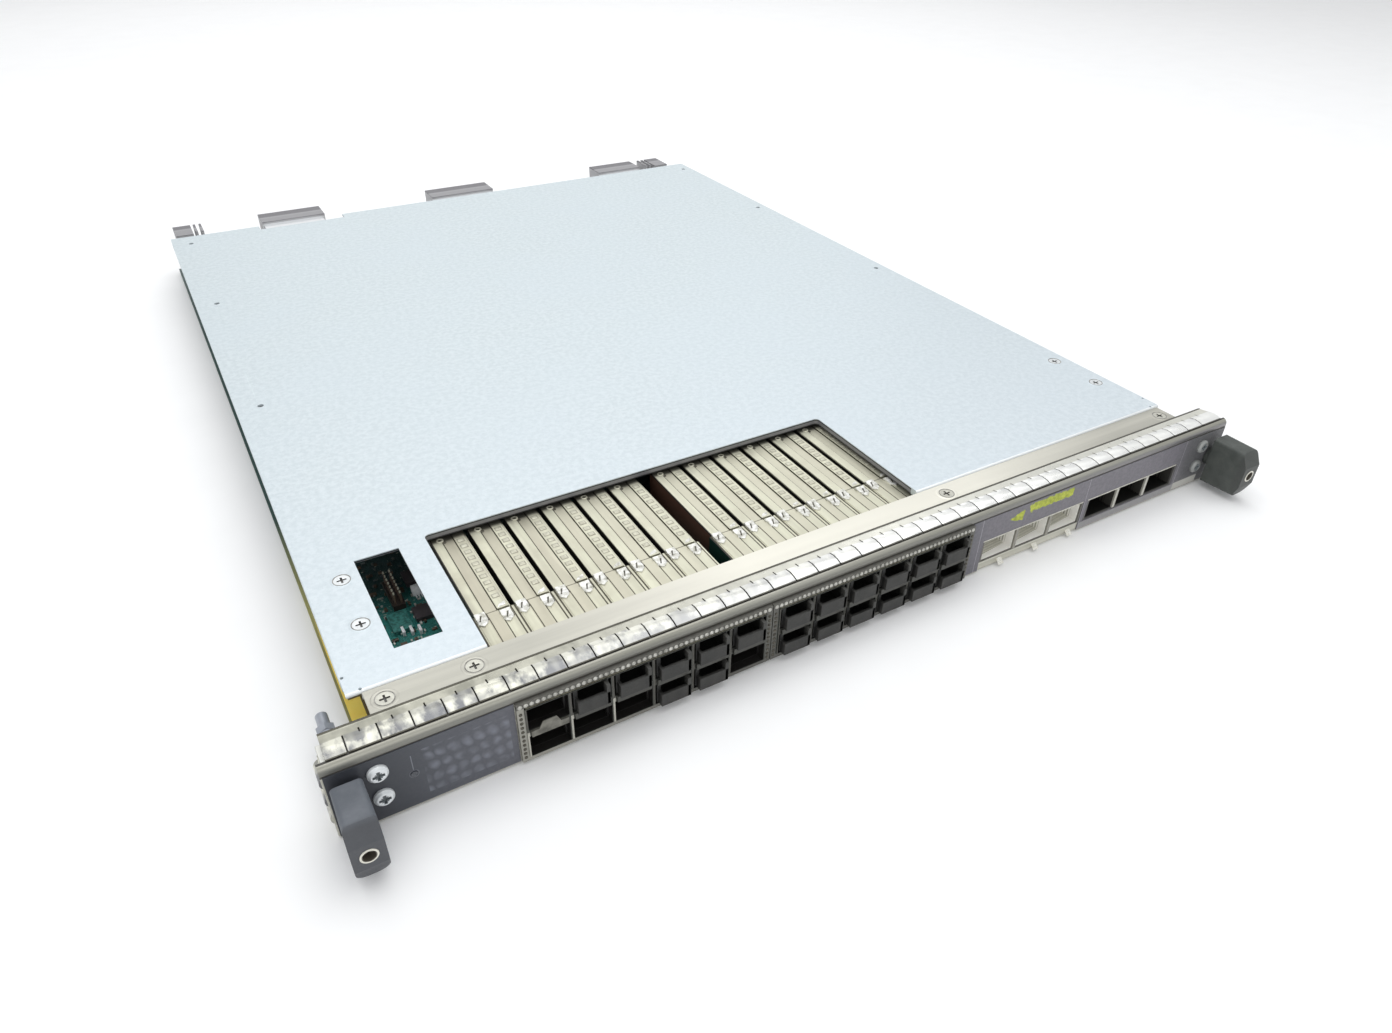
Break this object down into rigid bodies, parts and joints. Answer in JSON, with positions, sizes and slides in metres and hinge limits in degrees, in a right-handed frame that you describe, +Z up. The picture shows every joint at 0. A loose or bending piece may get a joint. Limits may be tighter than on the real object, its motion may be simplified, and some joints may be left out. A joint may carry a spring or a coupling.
{
  "type": "network switch line card",
  "caption": "Pull-out line card for a chassis network switch: faceplate with stacked and wide optical ports, flat lid, rear connectors and a jackscrew handle at each end.",
  "frame": {"origin": "bottom centre of the bounding box, on the underside", "axes": "+X along the faceplate to the right as seen from the front, +Y from the handles to the rear connectors, +Z up out of the lid"},
  "size_m": [0.4334, 0.5638, 0.0342],
  "materials": {
    "faceplate_metal": "nickel plated sheet",
    "overlay_film": "fine matt legend film",
    "spring_metal": "bright tin plate",
    "bracket_plate": "nickel plate",
    "cover_zinc": "pale zinc plate",
    "board_green": "solder mask",
    "cage_nickel": "nickel plate",
    "connector_black": "moulded",
    "plug_plastic": "moulded",
    "handle_plastic": "moulded",
    "screw_zinc": "bright zinc",
    "block_aluminium": "machined",
    "rear_housing": "moulded",
    "sink_aluminium": "extruded",
    "chip_black": "moulded",
    "lens": "clear light guide",
    "pin_metal": "tin plate"
  },
  "bodies": {
    "chassis": {"faceplate": "faceplate_metal", "faceplate_overlay": "overlay_film", "emi_finger_strip_top": "spring_metal", "emi_finger_strip_left": "spring_metal", "emi_finger_strip_right": "spring_metal", "front_bracket": "bracket_plate", "top_cover": "cover_zinc", "base_pan": "cover_zinc", "main_board": "board_green", "sfp_cage_left": "cage_nickel", "sfp_cage_right": "cage_nickel", "sfp_gasket_left": "cage_nickel", "sfp_gasket_right": "cage_nickel", "sfp_connectors": "connector_black", "sfp_latch_bars": "cage_nickel", "dust_plugs_left": "plug_plastic", "dust_plugs_right": "plug_plastic", "qsfp_cage_left": "cage_nickel", "qsfp_cage_right": "cage_nickel", "qsfp_connectors": "connector_black", "qsfp_gasket_springs": "spring_metal", "status_led": "lens", "cover_standoffs": "screw_zinc", "bracket_standoffs": "screw_zinc", "cover_screws": "screw_zinc", "bracket_screws": "screw_zinc", "faceplate_screws": "screw_zinc", "asic_packages": "chip_black", "power_modules": "chip_black", "processor_module": "board_green", "memory_module": "board_green", "board_header": "chip_black", "board_chips": "chip_black", "backplane_connector_left": "rear_housing", "backplane_connector_middle": "rear_housing", "backplane_connector_right": "rear_housing", "guide_block_left": "rear_housing", "guide_block_right": "rear_housing", "heat_sink_front": "sink_aluminium", "heat_sink_right": "sink_aluminium", "heat_sink_rear": "sink_aluminium", "jackscrew_carrier_left": "block_aluminium", "jackscrew_carrier_right": "block_aluminium"},
    "left_ejector": {"handle_left": "handle_plastic", "handle_ferrule_left": "screw_zinc", "jackscrew_left": "screw_zinc", "retaining_ring_left": "screw_zinc"},
    "right_ejector": {"handle_right": "handle_plastic", "handle_ferrule_right": "screw_zinc", "jackscrew_right": "screw_zinc", "retaining_ring_right": "screw_zinc"}
  },
  "joints": [
    {"name": "left_ejector_turn", "type": "hinge", "parent": "chassis", "child": "left_ejector", "pos_m": [-0.2097, -0.2596, 0.0147], "axis": [0, 1, 0], "continuous": true},
    {"name": "right_ejector_turn", "type": "hinge", "parent": "chassis", "child": "right_ejector", "pos_m": [0.2097, -0.2596, 0.0147], "axis": [0, 1, 0], "continuous": true}
  ]
}
